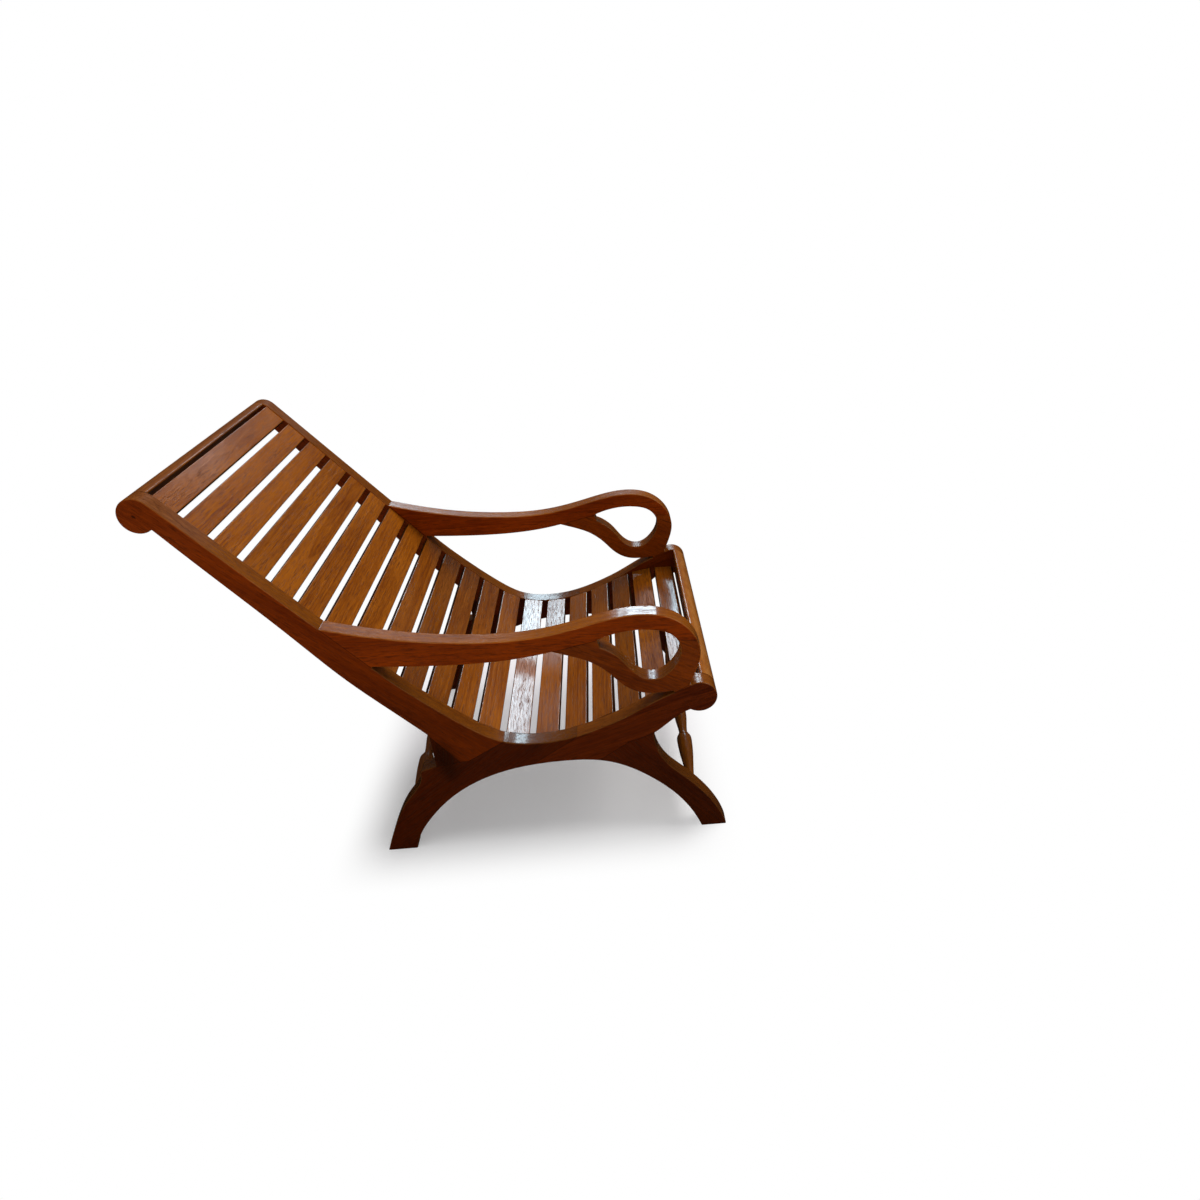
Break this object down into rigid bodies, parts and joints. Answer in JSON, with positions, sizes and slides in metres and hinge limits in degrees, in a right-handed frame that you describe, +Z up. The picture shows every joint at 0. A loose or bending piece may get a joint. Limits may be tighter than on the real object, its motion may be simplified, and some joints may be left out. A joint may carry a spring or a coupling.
{
  "type": "planters chair",
  "caption": "Low reclining wooden planters chair: scrolled side frames with looped arms, a slatted seat and back in one sweep, and turned stretchers.",
  "frame": {"origin": "on the floor, under the middle of the whole chair's box", "axes": "+X is the chair's front, +Y is the sitter's left, +Z is up"},
  "size_m": [1.042, 0.64, 0.871],
  "materials": {
    "frame_wood": "satin",
    "slat_wood": "satin",
    "turned_wood": "satin",
    "dowel_wood": "matte"
  },
  "bodies": {
    "root": {"back_rail_right": "frame_wood", "back_rail_left": "frame_wood", "knee_block_right": "frame_wood", "knee_block_left": "frame_wood", "rear_leg_right": "frame_wood", "rear_leg_left": "frame_wood", "seat_rail_right": "frame_wood", "seat_rail_left": "frame_wood", "front_leg_right": "frame_wood", "front_leg_left": "frame_wood", "arm_right": "frame_wood", "arm_left": "frame_wood", "arm_loop_right": "frame_wood", "arm_loop_left": "frame_wood", "top_rail": "frame_wood", "front_rail": "frame_wood", "front_stretcher": "turned_wood", "rear_stretcher": "turned_wood", "slat_01": "slat_wood", "slat_02": "slat_wood", "slat_03": "slat_wood", "slat_04": "slat_wood", "slat_05": "slat_wood", "slat_06": "slat_wood", "slat_07": "slat_wood", "slat_08": "slat_wood", "slat_09": "slat_wood", "slat_10": "slat_wood", "slat_11": "slat_wood", "slat_12": "slat_wood", "slat_13": "slat_wood", "slat_14": "slat_wood", "slat_15": "slat_wood", "slat_16": "slat_wood", "slat_17": "slat_wood", "slat_18": "slat_wood", "slat_19": "slat_wood", "slat_20": "slat_wood", "rail_joint_dowels": "dowel_wood", "leg_joint_dowels": "dowel_wood", "arm_joint_dowels": "dowel_wood"}
  },
  "joints": []
}
